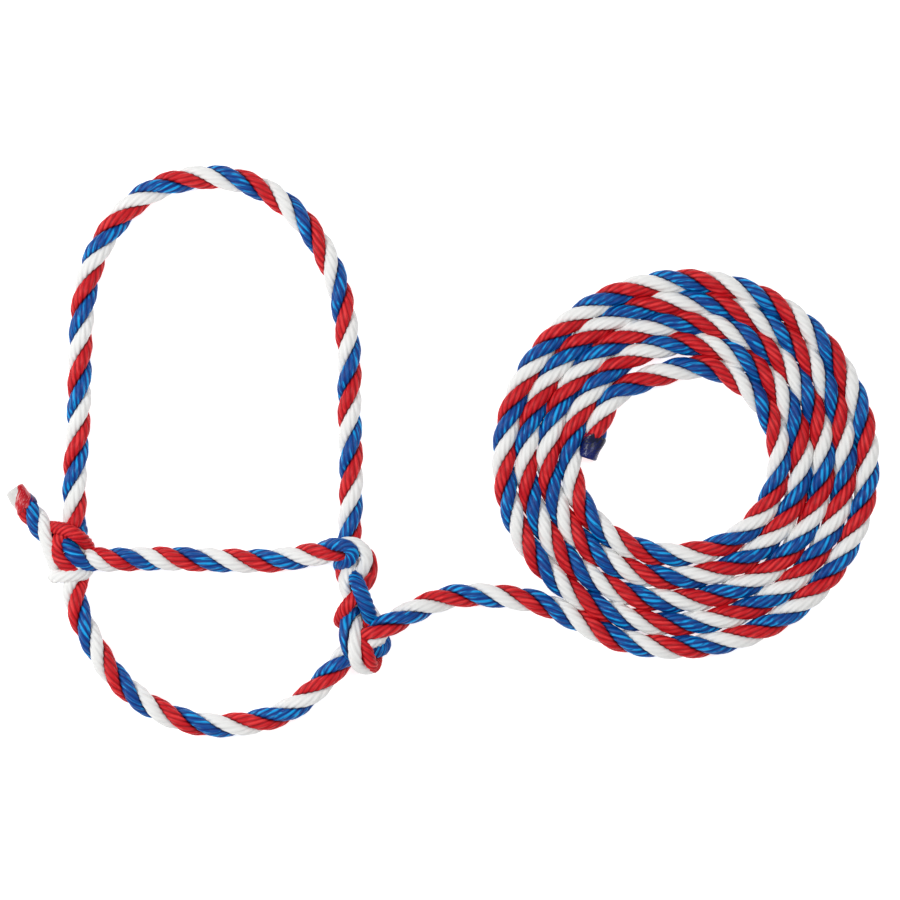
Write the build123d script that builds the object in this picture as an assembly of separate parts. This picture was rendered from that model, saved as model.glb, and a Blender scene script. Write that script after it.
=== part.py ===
from build123d import *
import math
import os

# A rope halter for livestock, laid flat on a table with its lead coiled beside it.
# One length of three-strand rope makes the whole halter, so every node is a stretch of
# that rope between two places where it crosses, is tucked, or is sealed.
# Millimetres, +Z up, rope lying on z = 0. The plan is drawn from the left cheek tuck,
# and planOriginX and planOriginY are where the part's own origin lies on that plan.

rope_diameter = 13.0
rope_radius = rope_diameter / 2
lying_height = rope_radius  # height of the rope's axis where it lies on the table
plan_origin_x = 71.3
plan_origin_y = 57.2

tip_length = 13.0  # heat-sealed end
tip_radius = 6.2
tip_edge = 1.0  # rounding of the melted end

joint_clearance = 0.3
arc_share = 0.45  # part of the shorter run that each arc takes


def at(x, y, z=lying_height):
    """A point of the plan, moved into the part's frame."""
    return Vector(x - plan_origin_x, y - plan_origin_y, z)


# Tail, nose band and the eye that the lead runs through, as one continuous route.
muzzle_route = [
    at(-25.6, 26.3),
    at(-17.5, 14.5),
    at(-4.5, 2),
    at(13, -2),
    at(41, -0.5),
    at(72.5, -1.5),
    at(102.5, -2.5),
    at(121.5, 0),
    at(137, 3),
    at(150, 6.5),
    at(160.5, 1),
    at(161.5, -10),
    at(155, -20),
    at(148, -30, 9),
    at(147, -42, 16),
    at(149.5, -53, 18),
    at(156.5, -62, 13),
    at(166.5, -58.5, 7.5),
    at(168, -47.5),
    at(162, -37, 8),
    at(156, -28, 14),
    at(151, -20, 16.5),
    at(147, -11, 9.5),
    at(147, -3.5),
]

# Crown, from the left cheek tuck over the poll to the right cheek.
crown_route = [
    at(0, 14.5),
    at(-0.5, 41.5),
    at(2.5, 79.5),
    at(2.5, 114.5),
    at(6, 152.5),
    at(20, 180),
    at(41, 199.5),
    at(72, 207),
    at(102.5, 200),
    at(126, 180),
    at(141.5, 152.5),
    at(148.5, 115),
    at(148, 79.5),
    at(149.5, 44.5),
    at(148.5, 15),
]

# Chin rope, through the eye, and on as the lead as far as the coil.
chin_route = [
    at(-0.5, -5),
    at(-0.5, -25),
    at(9, -45.5),
    at(20.5, -64.5),
    at(41, -82),
    at(69.5, -92),
    at(102.5, -89),
    at(122.5, -79),
    at(138, -63, 7),
    at(149.5, -49.5, 8.5),
    at(162, -40.5, 17),
    at(172, -34.5, 16.5),
    at(193, -24, 8),
    at(209, -20),
    at(231, -21),
    at(252.5, -24.5),
    at(269.5, -33),
    at(282, -40),
]
pivot_corner = 11  # the lead swings about the middle of the run after this point

# Coil of the lead: a flat spiral, as one ring with the outer shape of its turns.
coil_centre = at(329.7, 50.8, 0)
coil_outer_radius = 104.0
hole_centre = at(323.5, 51.5, 0)
hole_radius = 50.5

# Inner end of the lead, which leaves the innermost turn and stops inside the coil.
inner_route = [
    at(308.5, 97.5),
    at(297, 91.5),
    at(288.5, 80),
    at(284.4, 66.5),
]


def middle(a, b):
    return (a + b) * 0.5


def corner_radii(points):
    """Arc radius at each corner, worked out from the runs beside it."""
    radii = []
    for before, corner, after in zip(points, points[1:], points[2:]):
        run_in = corner - before
        run_out = after - corner
        half_turn = math.radians(run_in.get_angle(run_out)) / 2
        shorter = min(run_in.length, run_out.length)
        radii.append(arc_share * shorter / math.tan(half_turn))
    return radii


def rope_tube(route, first, last, name):
    """The rope round corners first to last of a route.

    It starts and ends in the middle of a run, or at the route's own end.
    """
    radii = corner_radii(route)[first - 1 : last]
    start = route[0] if first == 1 else middle(route[first - 1], route[first])
    end = route[-1] if last == len(route) - 2 else middle(route[last], route[last + 1])
    return tube_along([start, *route[first : last + 1], end], radii, name)


def tube_along(points, radii, name):
    path = FilletPolyline(*points, radius=radii)
    section = Plane(origin=path @ 0, z_dir=path % 0) * Circle(rope_radius)
    solid = sweep(section, path=path)
    expected = math.pi * rope_radius**2 * path.length
    print(
        f"{name}: length {path.length:.1f} mm, volume {solid.volume:.0f}",
        f"of {expected:.0f} mm3, radii {[round(r) for r in radii]}",
    )
    return solid


def sealed_tip(end_point, direction, name):
    """A heat-sealed end: a short plain cylinder with a rounded rim."""
    base = Plane(origin=end_point, z_dir=direction)
    tip = base * Cylinder(tip_radius, tip_length, align=(Align.CENTER, Align.CENTER, Align.MIN))
    rim = tip.edges().filter_by(GeomType.CIRCLE).sort_by(lambda e: (e.center() - end_point).length)[-1]
    print(f"{name}: {tip_length} mm long, radius {tip_radius} mm")
    return fillet(rim, tip_edge)


parts = {}

# Muzzle: tail, nose band and eye.
tail_direction = (muzzle_route[0] - muzzle_route[1]).normalized()
parts["tail_tip"] = sealed_tip(muzzle_route[0], tail_direction, "tail_tip")
parts["tail"] = rope_tube(muzzle_route, 1, 2, "tail")
parts["nose_band"] = rope_tube(muzzle_route, 3, 7, "nose_band")
parts["eye_left_leg"] = rope_tube(muzzle_route, 8, 15, "eye_left_leg")
parts["eye_right_leg"] = rope_tube(muzzle_route, 16, 22, "eye_right_leg")

# Crown: two cheek pieces and the poll piece between them.
parts["crown_left_cheek"] = rope_tube(crown_route, 1, 3, "crown_left_cheek")
parts["crown_poll"] = rope_tube(crown_route, 4, 10, "crown_poll")
parts["crown_right_cheek"] = rope_tube(crown_route, 11, 13, "crown_right_cheek")

# Chin rope stops just short of the place where the lead starts to swing.
lead_pivot = middle(chin_route[pivot_corner], chin_route[pivot_corner + 1])
lead_direction = (chin_route[pivot_corner + 1] - chin_route[pivot_corner]).normalized()
chin_end = lead_pivot - lead_direction * (rope_radius + joint_clearance)
chin_radii = corner_radii(chin_route)
parts["chin_rope"] = tube_along(
    [*chin_route[: pivot_corner + 1], chin_end], chin_radii[:pivot_corner], "chin_rope"
)

# Lead: a round end at the pivot, the free rope, the coil, and the coil's inner end.
lead_points = [lead_pivot, *chin_route[pivot_corner + 1 :]]
lead_tube = tube_along(lead_points, chin_radii[pivot_corner:], "lead_rope")
round_end = Pos(lead_pivot) * Sphere(rope_radius)
coil_disc = Cylinder(coil_outer_radius, rope_diameter, align=(Align.CENTER, Align.CENTER, Align.MIN))
coil_hole = Cylinder(hole_radius, rope_diameter, align=(Align.CENTER, Align.CENTER, Align.MIN))
parts["lead_coil"] = Pos(coil_centre) * coil_disc - Pos(hole_centre) * coil_hole
parts["lead_rope"] = lead_tube + round_end - Pos(coil_centre) * coil_disc
inner_tube = tube_along(inner_route, corner_radii(inner_route), "lead_inner_end")
parts["lead_inner_end"] = inner_tube
inner_direction = (inner_route[-1] - inner_route[-2]).normalized()
parts["lead_tip"] = sealed_tip(inner_route[-1], inner_direction, "lead_tip")

os.makedirs("parts", exist_ok=True)
for name, shape in parts.items():
    export_step(shape, f"parts/{name}.step")

whole_halter = Compound(children=[s for n, s in parts.items() if not n.startswith("lead_")])
box = whole_halter.bounding_box()
print("halter box", box.min, box.max, "centre", box.center())
print("lead pivot", lead_pivot, "direction", lead_direction)
print("tail tip end", muzzle_route[0] + tail_direction * tip_length, "axis", tail_direction)
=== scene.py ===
import math

import bmesh
import bpy
import numpy as np
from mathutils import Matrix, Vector


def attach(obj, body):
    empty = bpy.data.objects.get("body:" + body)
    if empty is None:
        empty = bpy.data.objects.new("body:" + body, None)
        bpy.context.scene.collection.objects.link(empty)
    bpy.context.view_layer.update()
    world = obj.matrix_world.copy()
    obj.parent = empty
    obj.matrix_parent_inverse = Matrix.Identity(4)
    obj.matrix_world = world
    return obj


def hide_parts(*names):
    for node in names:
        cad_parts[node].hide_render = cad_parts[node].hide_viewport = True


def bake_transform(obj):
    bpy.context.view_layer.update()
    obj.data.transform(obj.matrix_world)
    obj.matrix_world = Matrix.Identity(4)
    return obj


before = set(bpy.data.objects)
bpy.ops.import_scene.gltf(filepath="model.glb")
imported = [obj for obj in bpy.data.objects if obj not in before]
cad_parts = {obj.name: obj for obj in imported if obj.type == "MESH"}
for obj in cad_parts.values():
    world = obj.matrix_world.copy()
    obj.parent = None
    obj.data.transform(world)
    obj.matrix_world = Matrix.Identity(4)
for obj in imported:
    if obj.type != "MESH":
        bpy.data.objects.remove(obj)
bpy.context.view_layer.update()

print("frame loaded")

# Lengths are in metres. The halter is drawn on a plan in millimetres whose zero is the
# left cheek tuck, and onPlan moves it into the part's frame.
planZero = {"x": 71.3, "y": 57.2}

rope = {
    "diameter": 0.0134,
    "hub": 0.262,  # strand centre from the rope's axis, as a share of the diameter
    "depth": 0.238,  # strand half thickness, outward
    "width": 0.272,  # strand half width, across
    "colours": ("Red", "Blue", "White"),  # in the order they come up along the rope
    "yarnsPerStrand": 6,
    "yarnTurnsPerLay": 2.42,
    "yarnRelief": 0.14,
}
lift = 0.2  # the laid rope is a little fatter than its tube, so it lies this much higher


def onPlan(x, y, z=6.5):
    return ((x - planZero["x"]) / 1000, (y - planZero["y"]) / 1000, (z + lift) / 1000)


# The whole halter is one rope: tail, nose band and eye, then crown, chin and lead.
muzzleRoute = [
    onPlan(-33, 37),
    onPlan(-17.5, 14.5),
    onPlan(-4.5, 2, 8),
    onPlan(13, -2, 7.5),
    onPlan(41, -0.5),
    onPlan(72.5, -1.5),
    onPlan(102.5, -2.5),
    onPlan(121.5, 0, 7),
    onPlan(136, 3, 12),
    onPlan(147, 6, 17),
    onPlan(157, 1.5, 13.5),
    onPlan(157, -10, 8),
    onPlan(153, -20),
    onPlan(148.8, -30, 9),
    onPlan(148.8, -41, 16),
    onPlan(151.2, -51, 17),
    onPlan(156.5, -58, 13),
    onPlan(164, -54, 7.5),
    onPlan(164.5, -44.5),
    onPlan(160.5, -35.5, 8),
    onPlan(155.5, -27.5, 14),
    onPlan(151, -20, 16.5),
    onPlan(147, -11, 9.5),
]

crownRoute = [
    onPlan(147, -1),
    onPlan(148.5, 15),
    onPlan(149.5, 44.5),
    onPlan(148, 79.5),
    onPlan(148.5, 115),
    onPlan(141.5, 152.5),
    onPlan(126, 180),
    onPlan(102.5, 200),
    onPlan(72, 207),
    onPlan(41, 199.5),
    onPlan(20, 180),
    onPlan(6, 152.5),
    onPlan(2.5, 114.5),
    onPlan(2.5, 79.5),
    onPlan(-0.5, 41.5),
    onPlan(0, 14.5),
]

chinRoute = [
    onPlan(-0.5, -5),
    onPlan(-0.5, -25),
    onPlan(9, -45.5),
    onPlan(20.5, -64.5),
    onPlan(41, -82),
    onPlan(69.5, -92),
    onPlan(102.5, -89),
    onPlan(122.5, -79),
    onPlan(138, -63, 7),
    onPlan(149.5, -49.5, 8.5),
    onPlan(162, -40.5, 17),
    onPlan(172, -34.5, 16.5),
    onPlan(193, -24, 8),
    onPlan(209, -20),
    onPlan(231, -21),
    onPlan(252.5, -24.5),
    onPlan(269.5, -33),
]

# The coil lies flat, each turn a circle that steps in by one pitch at its lower left.
coil = {
    "centreX": 329.7,
    "centreY": 50.8,
    "radius": 110.16,
    "pitch": 11.88,
    "stepFrom": 185,  # degrees, where a turn starts to step in
    "stepOver": 100,
    "first": 252,
    "last": 1905,
    "every": 24,
    "creep": 0.6,  # each turn's centre lies this much further up the plan
}


def easeInOut(t):
    t = min(max(t, 0.0), 1.0)
    return t * t * (3 - 2 * t)


def coilRoute():
    points = []
    # A control point stands outside the curve that it shapes.
    outside = 1 / math.cos(math.radians(coil["every"] / 2))
    for degrees in range(coil["first"], coil["last"], coil["every"]):
        turn = (degrees - coil["stepFrom"]) // 360
        past = degrees - coil["stepFrom"] - 360 * turn
        steppedIn = turn + easeInOut(past / coil["stepOver"])
        radius = (coil["radius"] - coil["pitch"] * steppedIn) * outside
        angle = math.radians(degrees)
        x = coil["centreX"] + radius * math.cos(angle)
        y = coil["centreY"] + (radius * math.sin(angle) + coil["creep"] * turn * outside)
        points.append(onPlan(x, y))
    return points


innerRoute = [
    onPlan(295, 92),
    onPlan(286, 80.5),
    onPlan(280.8, 66.8),
    onPlan(276.4, 53.2),
]


def smoothLine(points):
    data = bpy.data.curves.new("ropeRoute", "CURVE")
    data.dimensions = "3D"
    spline = data.splines.new("NURBS")
    spline.points.add(len(points) - 1)
    for controlPoint, place in zip(spline.points, points):
        controlPoint.co = (*place, 1)
    spline.order_u = 3
    spline.use_endpoint_u = True
    spline.resolution_u = 24
    route = bpy.data.objects.new("ropeRoute", data)
    bpy.context.collection.objects.link(route)
    bpy.context.view_layer.update()
    line = bpy.data.meshes.new_from_object(route.evaluated_get(bpy.context.evaluated_depsgraph_get()))
    places = np.array([v.co[:] for v in line.vertices])
    bpy.data.objects.remove(route)
    bpy.data.curves.remove(data)
    bpy.data.meshes.remove(line)
    return places


ropeLine = smoothLine(muzzleRoute + crownRoute + chinRoute + coilRoute() + innerRoute)
steps = np.linalg.norm(np.diff(ropeLine, axis=0), axis=1)
distances = np.concatenate([[0.0], np.cumsum(steps)])
print(f"rope line is {distances[-1]:.3f} m long")


def along(line, where):
    return np.stack([np.interp(where, distances, line[:, axis]) for axis in range(3)], axis=1)


def distanceNear(place, low=0.0, high=10.0):
    near = (distances >= low) & (distances <= high)
    gap = np.linalg.norm(ropeLine[near] - np.array(place), axis=1)
    return float(distances[near][gap.argmin()])


# How far the lay has turned, counted in whole turns of the red strand: (metres, turns).
# Past the right cheek the lay runs evenly, and each stretch has one lay length.
muzzleMarks = [
    (0.0, -2.27),
    (0.008, -2),
    (0.039, -1),
    (0.071, 0),
    (0.105, 1),
    (0.146, 2),
    (0.186, 3),
    (0.199, 3.333),
    (0.212, 3.667),
    (0.233, 4),
    (0.244, 4.333),
    (0.265, 4.667),
    (0.279, 5),
    (0.286, 5.333),
    (0.292, 5.667),
    (0.308, 6),
    (0.322, 6.333),
    (0.335, 6.667),
]
lays = [
    {"length": 0.0425, "stretch": 0.51},
    {"length": 0.0430, "stretch": 2.06},
    {"length": 0.0419, "stretch": 0.56},
]
cheekTurns = 7
rightCheek = distanceNear(onPlan(148, 4), 0.3, 0.45)
layMarks = muzzleMarks + [(rightCheek - 0.002, cheekTurns)]
for lay in lays:
    place, turned = layMarks[-1]
    layMarks.append((place + lay["stretch"], turned + lay["stretch"] / lay["length"]))
print("right cheek is", round(rightCheek, 4), "m from the tail end")
markAt = np.array([mark[0] for mark in layMarks])
markTurns = np.array([mark[1] for mark in layMarks])


def unit(vectors):
    return vectors / np.linalg.norm(vectors, axis=1)[:, None]


def layFrame(where):
    reach = 0.0008
    heading = unit(along(ropeLine, where + reach) - along(ropeLine, where - reach))
    left = unit(np.cross(np.array([0.0, 0.0, 1.0]), heading))
    over = np.cross(heading, left)
    return left, over


# Where one rope is tucked through the other, single strands leave the lay and lock over
# and under their neighbours. Each one goes by its own points from first to last.
cheekTucks = [
    {
        "colour": "Red",
        "first": 0.0285,
        "last": 0.0545,
        "points": [
            onPlan(-9.5, 16, 10.5),
            onPlan(-3, 14.8, 14),
            onPlan(2, 12, 14.3),
            onPlan(5, 9.6, 11.6),
            onPlan(6.8, 6.8, 7),
            onPlan(7.8, 3.6, 4.6),
        ],
    },
    {
        "colour": "White",
        "first": 0.030,
        "last": 0.0585,
        "points": [
            onPlan(-13.8, 3.8, 9.5),
            onPlan(-11.1, -3.8, 8.4),
            onPlan(-9.6, -8.3, 4.4),
            onPlan(-10.6, -11.4, 4),
            onPlan(-11.6, -10.2, 8.6),
            onPlan(-8.4, -10.2, 11.2),
            onPlan(-3.6, -10, 12.6),
            onPlan(2.4, -9.4, 11),
            onPlan(6.4, -8.6, 6.6),
            onPlan(7, -3.6, 3.4),
            onPlan(5.6, 1.6, 5),
        ],
    },
    {
        "colour": "Red",
        "first": 0.816,
        "last": 0.852,
        "points": [
            onPlan(-4.6, 14, 8.5),
            onPlan(-8.8, 9.8, 8.8),
            onPlan(-10, 4.3, 10),
            onPlan(-7.6, -1.6, 11.4),
            onPlan(-3, -5.9, 11.8),
            onPlan(1.6, -8, 9.4),
            onPlan(4.2, -10, 5.2),
            onPlan(3.4, -14.4, 4.6),
        ],
    },
    {
        "colour": "Blue",
        "first": 0.819,
        "last": 0.842,
        "points": [
            onPlan(3.4, 12, 4.5),
            onPlan(0.5, 4, 3.3),
            onPlan(-3.6, -5, 3.5),
        ],
    },
    {
        "colour": "Blue",
        "first": 0.189,
        "last": 0.237,
        "points": [
            onPlan(141, 7.2, 18.2),
            onPlan(147.4, 6.6, 20),
            onPlan(151, 2.4, 19),
            onPlan(148, -2.4, 15.5),
            onPlan(142.6, -3.4, 11.6),
            onPlan(143.2, -5.4, 5.6),
            onPlan(148.6, -13, 3.4),
        ],
    },
    {
        "colour": "Blue",
        "first": 0.304,
        "last": 0.338,
        "points": [
            onPlan(160.6, -36, 11),
            onPlan(159, -29.4, 18),
            onPlan(155.8, -21, 20.4),
            onPlan(152.4, -12.6, 19),
        ],
    },
    {
        "colour": "Red",
        "first": 0.2235,
        "last": 0.2465,
        "points": [
            onPlan(155, -16.5, 13.5),
            onPlan(152, -20.6, 16.5),
            onPlan(147.6, -25, 18),
            onPlan(144, -30.6, 14),
            onPlan(142.8, -35.6, 9),
        ],
    },
    {
        "colour": "Red",
        "first": 0.2685,
        "last": 0.2925,
        "points": [
            onPlan(154.6, -42, 16.5),
            onPlan(157.4, -49, 17.6),
            onPlan(159.6, -56, 16),
            onPlan(161, -60.2, 10.5),
            onPlan(163, -55, 4.5),
        ],
    },
]
leadIn = 0.005


def helixPlace(colour, where):
    turns = np.interp(where, markAt, markTurns)
    shift = rope["colours"].index(colour) / 3
    angle = 2 * math.pi * (turns - shift) + math.pi / 2
    left, over = layFrame(where)
    outward = np.cos(angle)[:, None] * left + np.sin(angle)[:, None] * over
    return along(ropeLine, where) + outward * rope["hub"] * rope["diameter"], outward


def tuckedLine(tuck):
    start, end = tuck["first"], tuck["last"]
    ends = np.array([start - leadIn, start, end, end + leadIn])
    lay = helixPlace(tuck["colour"], ends)[0]
    return smoothLine([*lay[:2].tolist(), *tuck["points"], *lay[2:].tolist()])


tuckLines = [tuckedLine(tuck) for tuck in cheekTucks]


def strandPlace(colour, where):
    centre, outward = helixPlace(colour, where)
    bare = np.zeros(len(where))
    for tuck, line in zip(cheekTucks, tuckLines):
        start, end = tuck["first"] - leadIn, tuck["last"] + leadIn
        inside = (where > start) & (where < end)
        if tuck["colour"] != colour or not inside.any():
            continue
        runs = np.concatenate([[0.0], np.cumsum(np.linalg.norm(np.diff(line, axis=0), axis=1))])
        share = (where[inside] - start) / (end - start)
        own = np.stack([np.interp(share * runs[-1], runs, line[:, axis]) for axis in range(3)], axis=1)
        # The strand leaves the lay and comes back to it without a kink.
        near = np.minimum(where[inside] - start, end - where[inside]) / leadIn
        near = np.clip(near, 0, 1)[:, None]
        near = near * near * (3 - 2 * near)
        centre[inside] = centre[inside] * (1 - near) + own * near
        # Away from the lay a strand's outer side is its top.
        lean = np.clip(np.minimum(share, 1 - share) * 6, 0, 1)
        # bare says how far a tucked strand has left the lay; it takes the painted shade off the strand's
        # sides.
        bare[inside] = lean
        lean = (lean * lean * (3 - 2 * lean))[:, None]
        leaned = outward[inside] * (1 - lean) + np.array([0.0, 0.0, 1.0]) * lean
        outward[inside] = unit(leaned + 1e-6)
    return centre, outward, bare


def strandLine(colour, where):
    centre, outward, bare = strandPlace(colour, where)
    # The strand's section stands square to the strand, not to the rope.
    reach = 0.0004
    heading = unit(strandPlace(colour, where + reach)[0] - strandPlace(colour, where - reach)[0])
    outward = unit(outward - heading * (outward * heading).sum(axis=1)[:, None])
    across = np.cross(heading, outward)
    turns = np.interp(where, markAt, markTurns)
    shift = rope["colours"].index(colour) / 3
    twist = -2 * math.pi * rope["yarnTurnsPerLay"] * turns + shift * 5
    return centre, outward, across, twist, bare


class Maker:
    # Adds nodes to one tree. A node's settings go in before its sockets are filled.
    def __init__(self, tree):
        self.tree = tree

    def node(self, kind, settings=None, sockets=None):
        made = self.tree.nodes.new(kind)
        for name, value in (settings or {}).items():
            setattr(made, name, value)
        for key, value in (sockets or {}).items():
            if isinstance(value, Link):
                self.tree.links.new(value.socket, made.inputs[key])
            else:
                made.inputs[key].default_value = value
        return made

    def link(self, kind, settings=None, sockets=None, output=0):
        return Link(self, self.node(kind, settings, sockets).outputs[output])


class Link:
    # One output socket. Sums on links add Math nodes to the tree.
    def __init__(self, maker, socket):
        self.maker = maker
        self.socket = socket

    def maths(self, operation, *values):
        return self.maker.link("ShaderNodeMath", {"operation": operation}, dict(enumerate(values)))

    def __add__(self, other):
        return self.maths("ADD", self, other)

    def __sub__(self, other):
        return self.maths("SUBTRACT", self, other)

    def __rsub__(self, other):
        return self.maths("SUBTRACT", other, self)

    def __mul__(self, other):
        return self.maths("MULTIPLY", self, other)

    def __truediv__(self, other):
        return self.maths("DIVIDE", self, other)

    def __pow__(self, other):
        return self.maths("POWER", self, other)

    def __abs__(self):
        return self.maths("ABSOLUTE", self)

    __radd__ = __add__
    __rmul__ = __mul__

    def sine(self):
        return self.maths("SINE", self)

    def cosine(self):
        return self.maths("COSINE", self)

    def clamped(self):
        return self.maths("MINIMUM", self.maths("MAXIMUM", self, 0.0), 1.0)


def vectorMaths(maker, operation, *values):
    return maker.link("ShaderNodeVectorMath", {"operation": operation}, dict(enumerate(values)))


def scaled(maker, vector, factor):
    return maker.link("ShaderNodeVectorMath", {"operation": "SCALE"}, {0: vector, "Scale": factor})


def mixColours(maker, factor, first, second):
    # Sockets 6, 7 and output 2 are the colour ones of a Mix node.
    return maker.link("ShaderNodeMix", {"data_type": "RGBA"}, {0: factor, 6: first, 7: second}, 2)


# Geometry Nodes: each strand is swept along its own line, with its yarns as ridges.
def strandTree():
    tree = bpy.data.node_groups.new("laidStrands", "GeometryNodeTree")
    tree.interface.new_socket("Geometry", in_out="INPUT", socket_type="NodeSocketGeometry")
    for name, kind in (
        ("Yarns", "NodeSocketInt"),
        ("Points Per Yarn", "NodeSocketInt"),
        ("Half Thickness", "NodeSocketFloat"),
        ("Half Width", "NodeSocketFloat"),
        ("Yarn Relief", "NodeSocketFloat"),
        ("First Finish", "NodeSocketMaterial"),
        ("Second Finish", "NodeSocketMaterial"),
        ("Third Finish", "NodeSocketMaterial"),
    ):
        tree.interface.new_socket(name, in_out="INPUT", socket_type=kind)
    tree.interface.new_socket("Geometry", in_out="OUTPUT", socket_type="NodeSocketGeometry")
    maker = Maker(tree)
    group = maker.node("NodeGroupInput")

    def given(name):
        return Link(maker, group.outputs[name])

    def named(name, kind="FLOAT"):
        return maker.link("GeometryNodeInputNamedAttribute", {"data_type": kind}, {"Name": name})

    def store(geometry, name, value, kind="FLOAT"):
        return maker.link(
            "GeometryNodeStoreNamedAttribute",
            {"data_type": kind, "domain": "POINT"},
            {"Geometry": geometry, "Name": name, "Value": value},
        )

    rails = maker.link("GeometryNodeMeshToCurve", None, {"Mesh": given("Geometry")})
    rails = store(rails, "railPlace", maker.link("GeometryNodeInputPosition"), "FLOAT_VECTOR")
    corners = given("Yarns") * given("Points Per Yarn")
    ring = maker.link("GeometryNodeCurvePrimitiveCircle", None, {"Resolution": corners, "Radius": 0.001})
    ring = store(ring, "around", maker.link("GeometryNodeInputIndex") / corners * (2 * math.pi))
    strands = maker.link(
        "GeometryNodeCurveToMesh", None, {"Curve": rails, "Profile Curve": ring, "Fill Caps": True}
    )

    around = named("around")
    crest = abs((around * (given("Yarns") / 2.0)).sine())
    girth = (1 - (1 - crest) * given("Yarn Relief")) * named("girth")
    turned = around + named("twist")
    outReach = turned.cosine() * given("Half Thickness") * girth
    sideReach = turned.sine() * given("Half Width") * girth
    reach = vectorMaths(
        maker,
        "ADD",
        scaled(maker, named("outward", "FLOAT_VECTOR"), outReach),
        scaled(maker, named("across", "FLOAT_VECTOR"), sideReach),
    )
    place = vectorMaths(maker, "ADD", named("railPlace", "FLOAT_VECTOR"), reach)
    strands = maker.link("GeometryNodeSetPosition", None, {"Geometry": strands, "Position": place})
    fibre = maker.link(
        "ShaderNodeCombineXYZ", None, {"X": around.cosine(), "Y": around.sine(), "Z": named("run")}
    )
    strands = store(strands, "fibre", fibre, "FLOAT_VECTOR")
    # outness drives the painted shade on a strand's sides that face into the rope. Only a laid strand has
    # a side shut in by the other two, so bare lifts that painted shade off a tucked strand.
    strands = store(strands, "outness", turned.cosine() + named("bare") * 1.3)
    # The end faces stay flat, so the sides shade alike on both sides of a cut.
    corner = maker.link("GeometryNodeInputMeshFaceNeighbors")
    isSide = corner.maths("LESS_THAN", corner, 4.5)
    strands = maker.link("GeometryNodeSetShadeSmooth", None, {"Geometry": strands, "Shade Smooth": isSide})
    strands = maker.link("GeometryNodeRealizeInstances", None, {"Geometry": strands})
    strand = named("strand")
    for index, label in enumerate(("First Finish", "Second Finish", "Third Finish")):
        chosen = strand.maths("COMPARE", strand, float(index), 0.25)
        strands = maker.link(
            "GeometryNodeSetMaterial",
            None,
            {"Geometry": strands, "Selection": chosen, "Material": given(label)},
        )
    maker.node("NodeGroupOutput", None, {"Geometry": strands})
    return tree


laidStrands = strandTree()


def setInputs(modifier, values):
    for item in modifier.node_group.interface.items_tree:
        if item.item_type == "SOCKET" and item.in_out == "INPUT" and item.name in values:
            modifier[item.identifier] = values[item.name]


def screenColour(red, green, blue):
    def linear(level):
        level = level / 255
        return level / 12.92 if level <= 0.04045 else ((level + 0.055) / 1.055) ** 2.4

    return (linear(red), linear(green), linear(blue), 1)


# crest is each strand's own colour. fibre is its filaments' colour, which also paints the highlights on
# the yarn crests. grooveShade and hollowShade are painted shade.
strandFinish = {
    "Red": {
        "crest": screenColour(204, 14, 28),
        "fibre": screenColour(232, 56, 58),
        "grooveShade": screenColour(128, 6, 18),
        "hollowShade": screenColour(84, 4, 14),
        "roughness": 0.46,
    },
    "Blue": {
        "crest": screenColour(0, 67, 150),
        "fibre": screenColour(8, 170, 242),
        "grooveShade": screenColour(12, 32, 104),
        "hollowShade": screenColour(8, 18, 66),
        "roughness": 0.4,
    },
    "White": {
        "crest": screenColour(235, 235, 233),
        "fibre": screenColour(243, 243, 242),
        "grooveShade": screenColour(235, 235, 235),
        "hollowShade": screenColour(217, 218, 221),
        "roughness": 0.5,
    },
}


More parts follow.
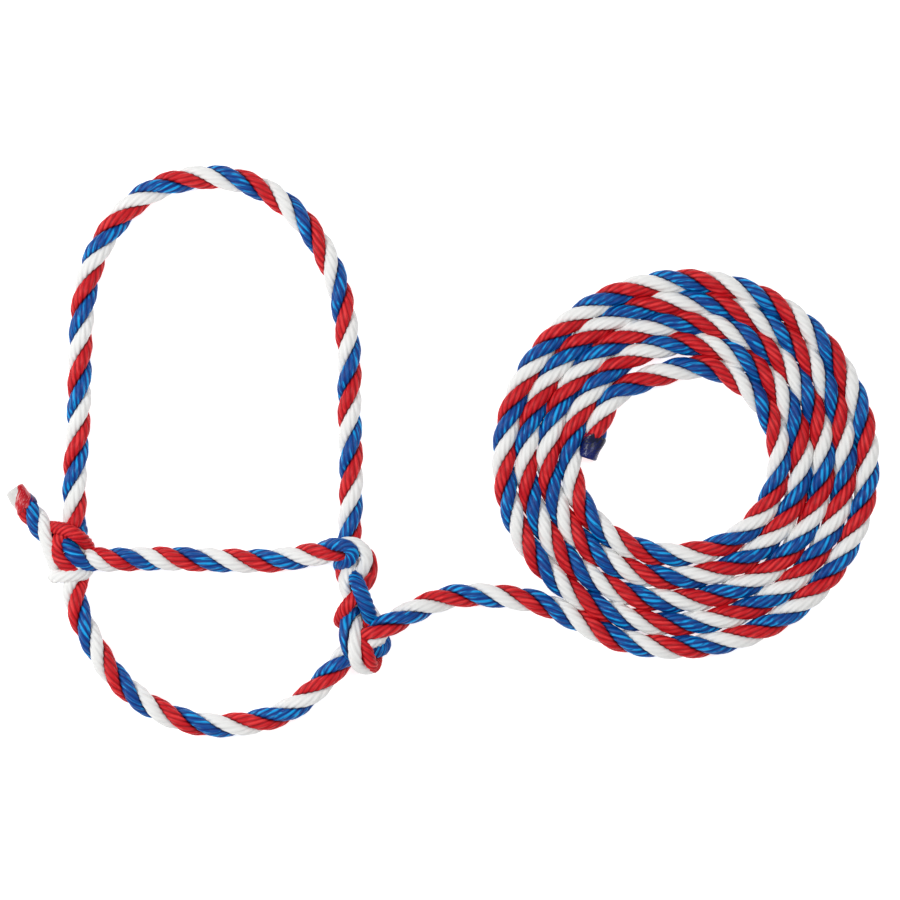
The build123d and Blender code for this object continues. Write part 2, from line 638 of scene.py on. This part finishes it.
def strandMaterial(name, finish):
    material = bpy.data.materials.new(name)
    material.use_nodes = True
    tree = material.node_tree
    tree.nodes.clear()
    maker = Maker(tree)
    fibre = maker.link("ShaderNodeAttribute", {"attribute_name": "fibre"}, None, "Vector")
    outness = maker.link("ShaderNodeAttribute", {"attribute_name": "outness"}, None, "Fac")
    parts = maker.node("ShaderNodeSeparateXYZ", None, {"Vector": fibre})
    x = Link(maker, parts.outputs["X"])
    y = Link(maker, parts.outputs["Y"])
    around = y.maths("ARCTAN2", y, x)
    crest = abs((around * (rope["yarnsPerStrand"] / 2)).sine())
    # Filaments are fine across the yarn and long down it.
    stretched = vectorMaths(maker, "MULTIPLY", fibre, (9.0, 9.0, 130.0))
    filament = maker.link(
        "ShaderNodeTexNoise",
        None,
        {"Vector": stretched, "Scale": 1.0, "Detail": 3.0, "Roughness": 0.6},
        "Fac",
    )
    broad = vectorMaths(maker, "MULTIPLY", fibre, (1.6, 1.6, 160.0))
    patch = maker.link("ShaderNodeTexNoise", None, {"Vector": broad, "Scale": 1.0, "Detail": 2.0}, "Fac")

    # Painted highlight: bright patches in the fibre colour on the yarn crests stand for glints. The
    # threads add the filaments' own lighter streaks, mostly on the crests.
    threads = ((filament - 0.46) * 5).clamped()
    paintedGlint = ((patch - 0.51) * 14).clamped() * crest ** 2.5
    colour = mixColours(maker, threads * 0.35 * crest + paintedGlint * 0.85, finish["crest"], finish["fibre"])
    # Painted shade: the grooves between the yarns are darkened towards the grooveShade colour, and the
    # patch noise also darkens some places at random.
    grooveShadeAndMottle = ((1 - crest) ** 1.5 * 0.8 + (0.5 - patch) * 0.9).clamped()
    colour = mixColours(maker, grooveShadeAndMottle, colour, finish["grooveShade"])
    # Painted shade: the sides of a strand that face in between its neighbours are darkened towards the
    # hollowShade colour.
    shade = ((0.3 - outness) * 2.0).clamped()
    colour = mixColours(maker, shade, colour, finish["hollowShade"])
    height = crest * 0.7 + filament * 0.5
    bump = maker.link(
        "ShaderNodeBump", None, {"Strength": 0.55, "Distance": 0.0005, "Height": height}
    )
    roughness = finish["roughness"] + (0.5 - filament) * 0.3
    shader = maker.link(
        "ShaderNodeBsdfPrincipled",
        None,
        {"Base Color": colour, "Roughness": roughness, "Normal": bump, "Specular IOR Level": 0.22},
    )
    maker.node("ShaderNodeOutputMaterial", None, {"Surface": shader})
    return material


strandMaterials = {
    colour: strandMaterial("strand" + colour, strandFinish[colour]) for colour in rope["colours"]
}
print("strand materials made")


# Distance along the rope between the rings of a strand, in metres.
sampling = {"muzzle": 0.0008, "cheeks": 0.001, "lead": 0.00131, "tucks": 0.00045, "path": 0.005}


def evenly(first, last, step):
    return np.linspace(first, last, round((last - first) / step) + 1)


def laidRuns(first, last, step):
    # A strand has a gap in this piece wherever it is tucked.
    runs = []
    for colour in rope["colours"]:
        start = first
        for tuck in sorted(cheekTucks, key=lambda one: one["first"]):
            low, high = tuck["first"] - leadIn, tuck["last"] + leadIn
            if tuck["colour"] != colour or high < start or low > last:
                continue
            if low > start:
                runs.append((colour, evenly(start, low, step)))
            start = high
        if start < last:
            runs.append((colour, evenly(start, last, step)))
    return runs


def tuckedRuns(tucks):
    runs = []
    for tuck in tucks:
        where = evenly(tuck["first"] - leadIn, tuck["last"] + leadIn, sampling["tucks"])
        runs.append((tuck["colour"], where))
    return runs


def ropePiece(name, runs, pointsPerYarn):
    places, edges = [], []
    values = {"outward": [], "across": [], "twist": [], "run": [], "girth": [], "strand": [], "bare": []}
    for colour, where in runs:
        index = rope["colours"].index(colour)
        count = len(where)
        before = sum(len(place) for place in places)
        centre, outward, across, twist, bare = strandLine(colour, where)
        edges += [(before + i, before + i + 1) for i in range(count - 1)]
        places.append(centre)
        values["outward"].append(outward)
        values["across"].append(across)
        values["twist"].append(twist)
        values["run"].append(where + index * 7)
        values["girth"].append(girthAt(colour, where))
        values["strand"].append(np.full(count, index))
        values["bare"].append(bare)
    rails = bpy.data.meshes.new(name + "Rails")
    rails.from_pydata(np.concatenate(places).tolist(), edges, [])
    for label, arrays in values.items():
        array = np.concatenate(arrays).astype(np.float32)
        isVector = array.ndim == 2
        made = rails.attributes.new(label, "FLOAT_VECTOR" if isVector else "FLOAT", "POINT")
        made.data.foreach_set("vector" if isVector else "value", array.ravel())
    carrier = bpy.data.objects.new(name + "Rails", rails)
    bpy.context.collection.objects.link(carrier)
    modifier = carrier.modifiers.new("laidStrands", "NODES")
    modifier.node_group = laidStrands
    finishes = [strandMaterials[colour] for colour in rope["colours"]]
    setInputs(
        modifier,
        {
            "Yarns": rope["yarnsPerStrand"],
            "Points Per Yarn": pointsPerYarn,
            "Half Thickness": rope["depth"] * rope["diameter"],
            "Half Width": rope["width"] * rope["diameter"],
            "Yarn Relief": rope["yarnRelief"],
            "First Finish": finishes[0],
            "Second Finish": finishes[1],
            "Third Finish": finishes[2],
        },
    )
    bpy.context.view_layer.update()
    graph = bpy.context.evaluated_depsgraph_get()
    mesh = bpy.data.meshes.new_from_object(carrier.evaluated_get(graph))
    bpy.data.objects.remove(carrier)
    bpy.data.meshes.remove(rails)
    for label in ("railPlace", "outward", "across", "twist", "run", "girth", "around", "strand", "bare"):
        if label in mesh.attributes:
            mesh.attributes.remove(mesh.attributes[label])
    mesh.name = name
    piece = bpy.data.objects.new(name, mesh)
    bpy.context.collection.objects.link(piece)
    print(name, len(mesh.polygons), "faces,", len(mesh.materials), "materials")
    return piece


tipCut = 0.006
thinning = {"least": 0.45, "over": 0.008}
# The blue strand spreads where it fills the left tuck and where it crosses the eye.
blueSpreads = [
    {"amount": 0.3, "where": 0.051, "reach": 0.009},
    {"amount": 0.2, "where": 0.32, "reach": 0.014},
]


def girthAt(colour, where):
    # Towards a melted end the strands thin out inside the cap.
    fromEnd = np.minimum(where, distances[-1] - where)
    least = thinning["least"]
    girth = np.clip(least + (1 - least) * (fromEnd - tipCut) / thinning["over"], least, 1)
    if colour == "Blue":
        for spread in blueSpreads:
            away = (where - spread["where"]) / spread["reach"]
            girth = girth + spread["amount"] * np.exp(-(away**2))
    return girth


def pathOf(first, last):
    return along(ropeLine, evenly(first, last, sampling["path"])).tolist()


# Where the one rope is cut into pieces, as distances from its tail end.
leftCheek = distanceNear(onPlan(0, 4), 0.7, 0.95)
leadStart = distanceNear(onPlan(182.5, -29.25, 12.25), 1.0, 1.2)
leadCut = distances[-1] - tipCut
print("cuts at", round(rightCheek, 4), round(leftCheek, 4), round(leadStart, 4), round(leadCut, 4))

muzzle = ropePiece("muzzleRope", laidRuns(tipCut, rightCheek, sampling["muzzle"]), 4)
crown = ropePiece("crownRope", laidRuns(rightCheek, leftCheek, sampling["cheeks"]), 4)
chin = ropePiece("chinRope", laidRuns(leftCheek, leadStart, sampling["cheeks"]), 4)
lead = ropePiece("leadRope", laidRuns(leadStart, leadCut, sampling["lead"]), 3)
noseSide = [one for one in cheekTucks if one["last"] < rightCheek]
crownSide = [one for one in cheekTucks if one["first"] > rightCheek]
noseTucks = ropePiece("noseTucks", tuckedRuns(noseSide), 4)
crownTucks = ropePiece("crownTucks", tuckedRuns(crownSide), 4)

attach(noseTucks, "halter")
onPlan(0, 2)
onPlan(0, 18)
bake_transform(crownTucks)
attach(muzzle, "halter")
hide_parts("tail", "nose_band", "eye_left_leg", "eye_right_leg")
onPlan(0, 2)
onPlan(0, 18)
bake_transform(crown)
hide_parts("crown_left_cheek", "crown_poll", "crown_right_cheek")
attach(chin, "halter")
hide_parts("chin_rope")
onPlan(182.5, -29.25)
onPlan(212, -14.5)
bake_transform(lead)
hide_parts("lead_rope", "lead_coil", "lead_inner_end")

# Both ends are melted, so that the strands are fused into a short glossy cap.
meltedTip = {
    "length": 0.0128,
    "endRadius": 0.0053,
    "lipRadius": 0.0062,
    "lobes": 0.0008,  # how far the three strands still show, at the lip
    "edge": 0.0011,
    "lipWander": 0.0013,  # the lip runs out unevenly over the strands
    "corners": 72,
}


def wander(angle, seed):
    waves = ((3, 0.5), (5, 0.9), (8, 0.6), (13, 0.45), (21, 0.3))
    return sum(size * np.sin(count * angle + seed * (count + 1.7)) for count, size in waves) / 2.2


def meltedEnd(name, end, direction, seed, finish):
    angle = np.linspace(0, 2 * math.pi, meltedTip["corners"], endpoint=False)
    shares = [(0.45, 0.0, 0), (0.8, 0.0, 0)]
    edge = meltedTip["edge"]
    for step in range(5):
        turn = math.radians(step * 22.5)
        shares.append((1.0, edge * (1 - math.sin(turn)), edge * (1 - math.cos(turn))))
    rings = []
    for share, inset, depth in shares:
        rings.append((share, inset, np.full_like(angle, depth)))
    lip = meltedTip["length"] + meltedTip["lipWander"] * wander(angle, seed)
    for share in np.linspace(0.12, 1, 16):
        rings.append((1.0, 0.0, edge + (lip - edge) * share))
    rings.append((0.9, 0.0, lip + 0.0002))
    rings.append((0.7, 0.0, lip - 0.0006))
    places, melt = [], []
    for share, inset, depth in rings:
        where = end + direction * depth
        left, over = layFrame(where)
        centre = along(ropeLine, where)
        turns = np.interp(where, markAt, markTurns)
        lay = 2 * math.pi * turns + math.pi / 2
        down = np.clip(depth / meltedTip["length"], 0, 1)
        lobe = meltedTip["lobes"] * (0.15 + 0.85 * down**1.5) * np.cos(3 * (angle - lay))
        radius = meltedTip["endRadius"] + (meltedTip["lipRadius"] - meltedTip["endRadius"]) * down
        radius = radius + lobe + 0.00012 * wander(angle + 9 * down, seed + 2)
        radius = (radius - inset) * share
        side = np.cos(angle)[:, None] * left + np.sin(angle)[:, None] * over
        places.append(centre + side * radius[:, None])
        off = angle - lay
        melt.append(np.stack([np.cos(off), np.sin(off), depth * 100], axis=1))
    count = len(angle)
    first = along(ropeLine, np.array([end]))
    last = along(ropeLine, np.array([end + direction * meltedTip["length"] * 0.9]))
    vertices = np.concatenate(places + [first, last])
    marks = np.concatenate(melt + [np.array([[1.0, 0.0, 0.0]]), np.array([[1.0, 0.0, 1.0]])])
    faces = []
    for ring in range(len(rings) - 1):
        for i in range(count):
            j = (i + 1) % count
            near, far = ring * count, (ring + 1) * count
            faces.append((near + i, near + j, far + j, far + i))
    lastRing = (len(rings) - 1) * count
    for i in range(count):
        j = (i + 1) % count
        faces.append((len(vertices) - 2, j, i))
        faces.append((lastRing + i, lastRing + j, len(vertices) - 1))
    mesh = bpy.data.meshes.new(name)
    mesh.from_pydata(vertices.tolist(), [], faces)
    build = bmesh.new()
    build.from_mesh(mesh)
    bmesh.ops.recalc_face_normals(build, faces=build.faces)
    build.to_mesh(mesh)
    build.free()
    made = mesh.attributes.new("melt", "FLOAT_VECTOR", "POINT")
    made.data.foreach_set("vector", marks.astype(np.float32).ravel())
    mesh.shade_smooth()
    mesh.materials.append(finish)
    piece = bpy.data.objects.new(name, mesh)
    bpy.context.collection.objects.link(piece)
    return piece


def meltedMaterial(name, scorch):
    material = bpy.data.materials.new(name)
    material.use_nodes = True
    tree = material.node_tree
    tree.nodes.clear()
    maker = Maker(tree)
    melt = maker.link("ShaderNodeAttribute", {"attribute_name": "melt"}, None, "Vector")
    parts = maker.node("ShaderNodeSeparateXYZ", None, {"Vector": melt})
    x = Link(maker, parts.outputs["X"])
    y = Link(maker, parts.outputs["Y"])
    run = Link(maker, parts.outputs["Z"])
    smear = maker.link(
        "ShaderNodeTexNoise",
        None,
        {"Vector": vectorMaths(maker, "MULTIPLY", melt, (4.0, 4.0, 2.0)), "Scale": 1.0, "Detail": 4.0},
        "Fac",
    )
    fleck = maker.link(
        "ShaderNodeTexNoise",
        None,
        {"Vector": vectorMaths(maker, "MULTIPLY", melt, (7.0, 7.0, 9.0)), "Scale": 1.0, "Detail": 3.0},
        "Fac",
    )
    around = y.maths("ARCTAN2", y, x) + (smear - 0.5) * 2.6 + scorch["turn"]
    white = ((around - scorch["white"]) * 4).clamped()
    blue = ((scorch["blue"] - around) * 4).clamped()
    colour = mixColours(maker, (fleck - 0.45) * 2.2, screenColour(188, 14, 30), screenColour(214, 60, 72))
    colour = mixColours(maker, white, colour, screenColour(214, 213, 211))
    colour = mixColours(maker, blue, colour, screenColour(8, 24, 96))
    streak = (((fleck - 0.56) * 7).clamped() * 0.4) * (1 - white) * (1 - blue)
    colour = mixColours(maker, streak, colour, screenColour(232, 190, 192))
    burnt = ((fleck * 1.2 + run * scorch["rise"] - scorch["start"]) * 5).clamped() * scorch["depth"]
    burnt = burnt * (blue + scorch["everywhere"]).clamped()
    colour = mixColours(maker, burnt, colour, screenColour(14, 16, 22))
    bump = maker.link(
        "ShaderNodeBump", None, {"Strength": 0.5, "Distance": 0.0006, "Height": smear + fleck * 0.4}
    )
    shader = maker.link(
        "ShaderNodeBsdfPrincipled",
        None,
        {
            "Base Color": colour,
            "Roughness": 0.2 + fleck * 0.16,
            "Normal": bump,
            "Specular IOR Level": 0.3,
            "Coat Weight": 0.08,
            "Coat Roughness": 0.12,
        },
    )
    maker.node("ShaderNodeOutputMaterial", None, {"Surface": shader})
    return material


# Scorching by its rise along the cap, start and depth, and how far it leaves the blue part.
# The colours fill sectors: turn swings them round, white and blue are where those begin.
tailScorch = {
    "rise": 0.25,
    "start": 0.98,
    "depth": 0.6,
    "turn": 0.25,
    "everywhere": 0.6,
    "white": 0.95,
    "blue": -1.05,
}
leadScorch = {
    "rise": 0.3,
    "start": 0.72,
    "depth": 0.85,
    "turn": -1.1,
    "everywhere": 0.1,
    "white": 1.25,
    "blue": -0.75,
}
tailFinish = meltedMaterial("meltedTail", tailScorch)
leadFinish = meltedMaterial("meltedLead", leadScorch)
tailEnd = meltedEnd("tailEnd", 0.0, 1, 3, tailFinish)
leadEnd = meltedEnd("leadEnd", float(distances[-1]), -1, 11, leadFinish)
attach(tailEnd, "halter")
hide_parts("tail_tip")
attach(leadEnd, "lead")
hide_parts("lead_tip")
print("melted ends made")


pathOf(tipCut, rightCheek)
pathOf(rightCheek, leftCheek)
pathOf(leftCheek, leadStart)
pathOf(leadStart, leadCut)


# Camera, floor and light.
camera = bpy.data.objects.new("camera", bpy.data.cameras.new("camera"))
bpy.context.collection.objects.link(camera)
# Straight above; the view is 0.486 m wide at the height of the rope's middle.
view = {"x": 0.1312, "y": 0.0006, "height": 2.0, "ropeHeight": 0.0065, "width": 0.486, "sensor": 36}
camera.location = (view["x"], view["y"], view["height"])
camera.data.sensor_width = view["sensor"]
camera.data.lens = view["sensor"] * (view["height"] - view["ropeHeight"]) / view["width"]
bpy.context.scene.camera = camera

floorFinish = bpy.data.materials.new("paleFloor")
floorFinish.use_nodes = True
floorShader = floorFinish.node_tree.nodes["Principled BSDF"]
floorShader.inputs["Base Color"].default_value = (0.9, 0.9, 0.9, 1)
floorShader.inputs["Roughness"].default_value = 0.9
floorShader.inputs["Emission Color"].default_value = (1, 1, 1, 1)
floorShader.inputs["Emission Strength"].default_value = 0.62
floorMesh = bpy.data.meshes.new("floor")
floorReach = 3
floorHeight = -0.0002
corners = [(-1, -1), (1, -1), (1, 1), (-1, 1)]
floorCorners = [(x * floorReach, y * floorReach, floorHeight) for x, y in corners]
floorMesh.from_pydata(floorCorners, [], [(0, 1, 2, 3)])
floorMesh.materials.append(floorFinish)
floor = bpy.data.objects.new("floor", floorMesh)
bpy.context.collection.objects.link(floor)

world = bpy.data.worlds.new("studio")
world.use_nodes = True
world.node_tree.nodes["Background"].inputs["Color"].default_value = (1, 1, 1, 1)
world.node_tree.nodes["Background"].inputs["Strength"].default_value = 0.42
bpy.context.scene.world = world
bpy.context.scene.view_settings.view_transform = "Standard"


def softLight(name, place, target, size, power):
    light = bpy.data.lights.new(name, "AREA")
    light.shape = "DISK"
    light.size = size
    light.energy = power
    holder = bpy.data.objects.new(name, light)
    bpy.context.collection.objects.link(holder)
    holder.location = place
    holder.rotation_euler = (Vector(target) - Vector(place)).to_track_quat("-Z", "Y").to_euler()


softLight("keyLight", (-1.0, 0.1, 1.3), (0.13, 0, 0), 0.5, 13)
softLight("fillLight", (0.5, 0.3, 1.9), (0.13, 0, 0), 0.9, 10)
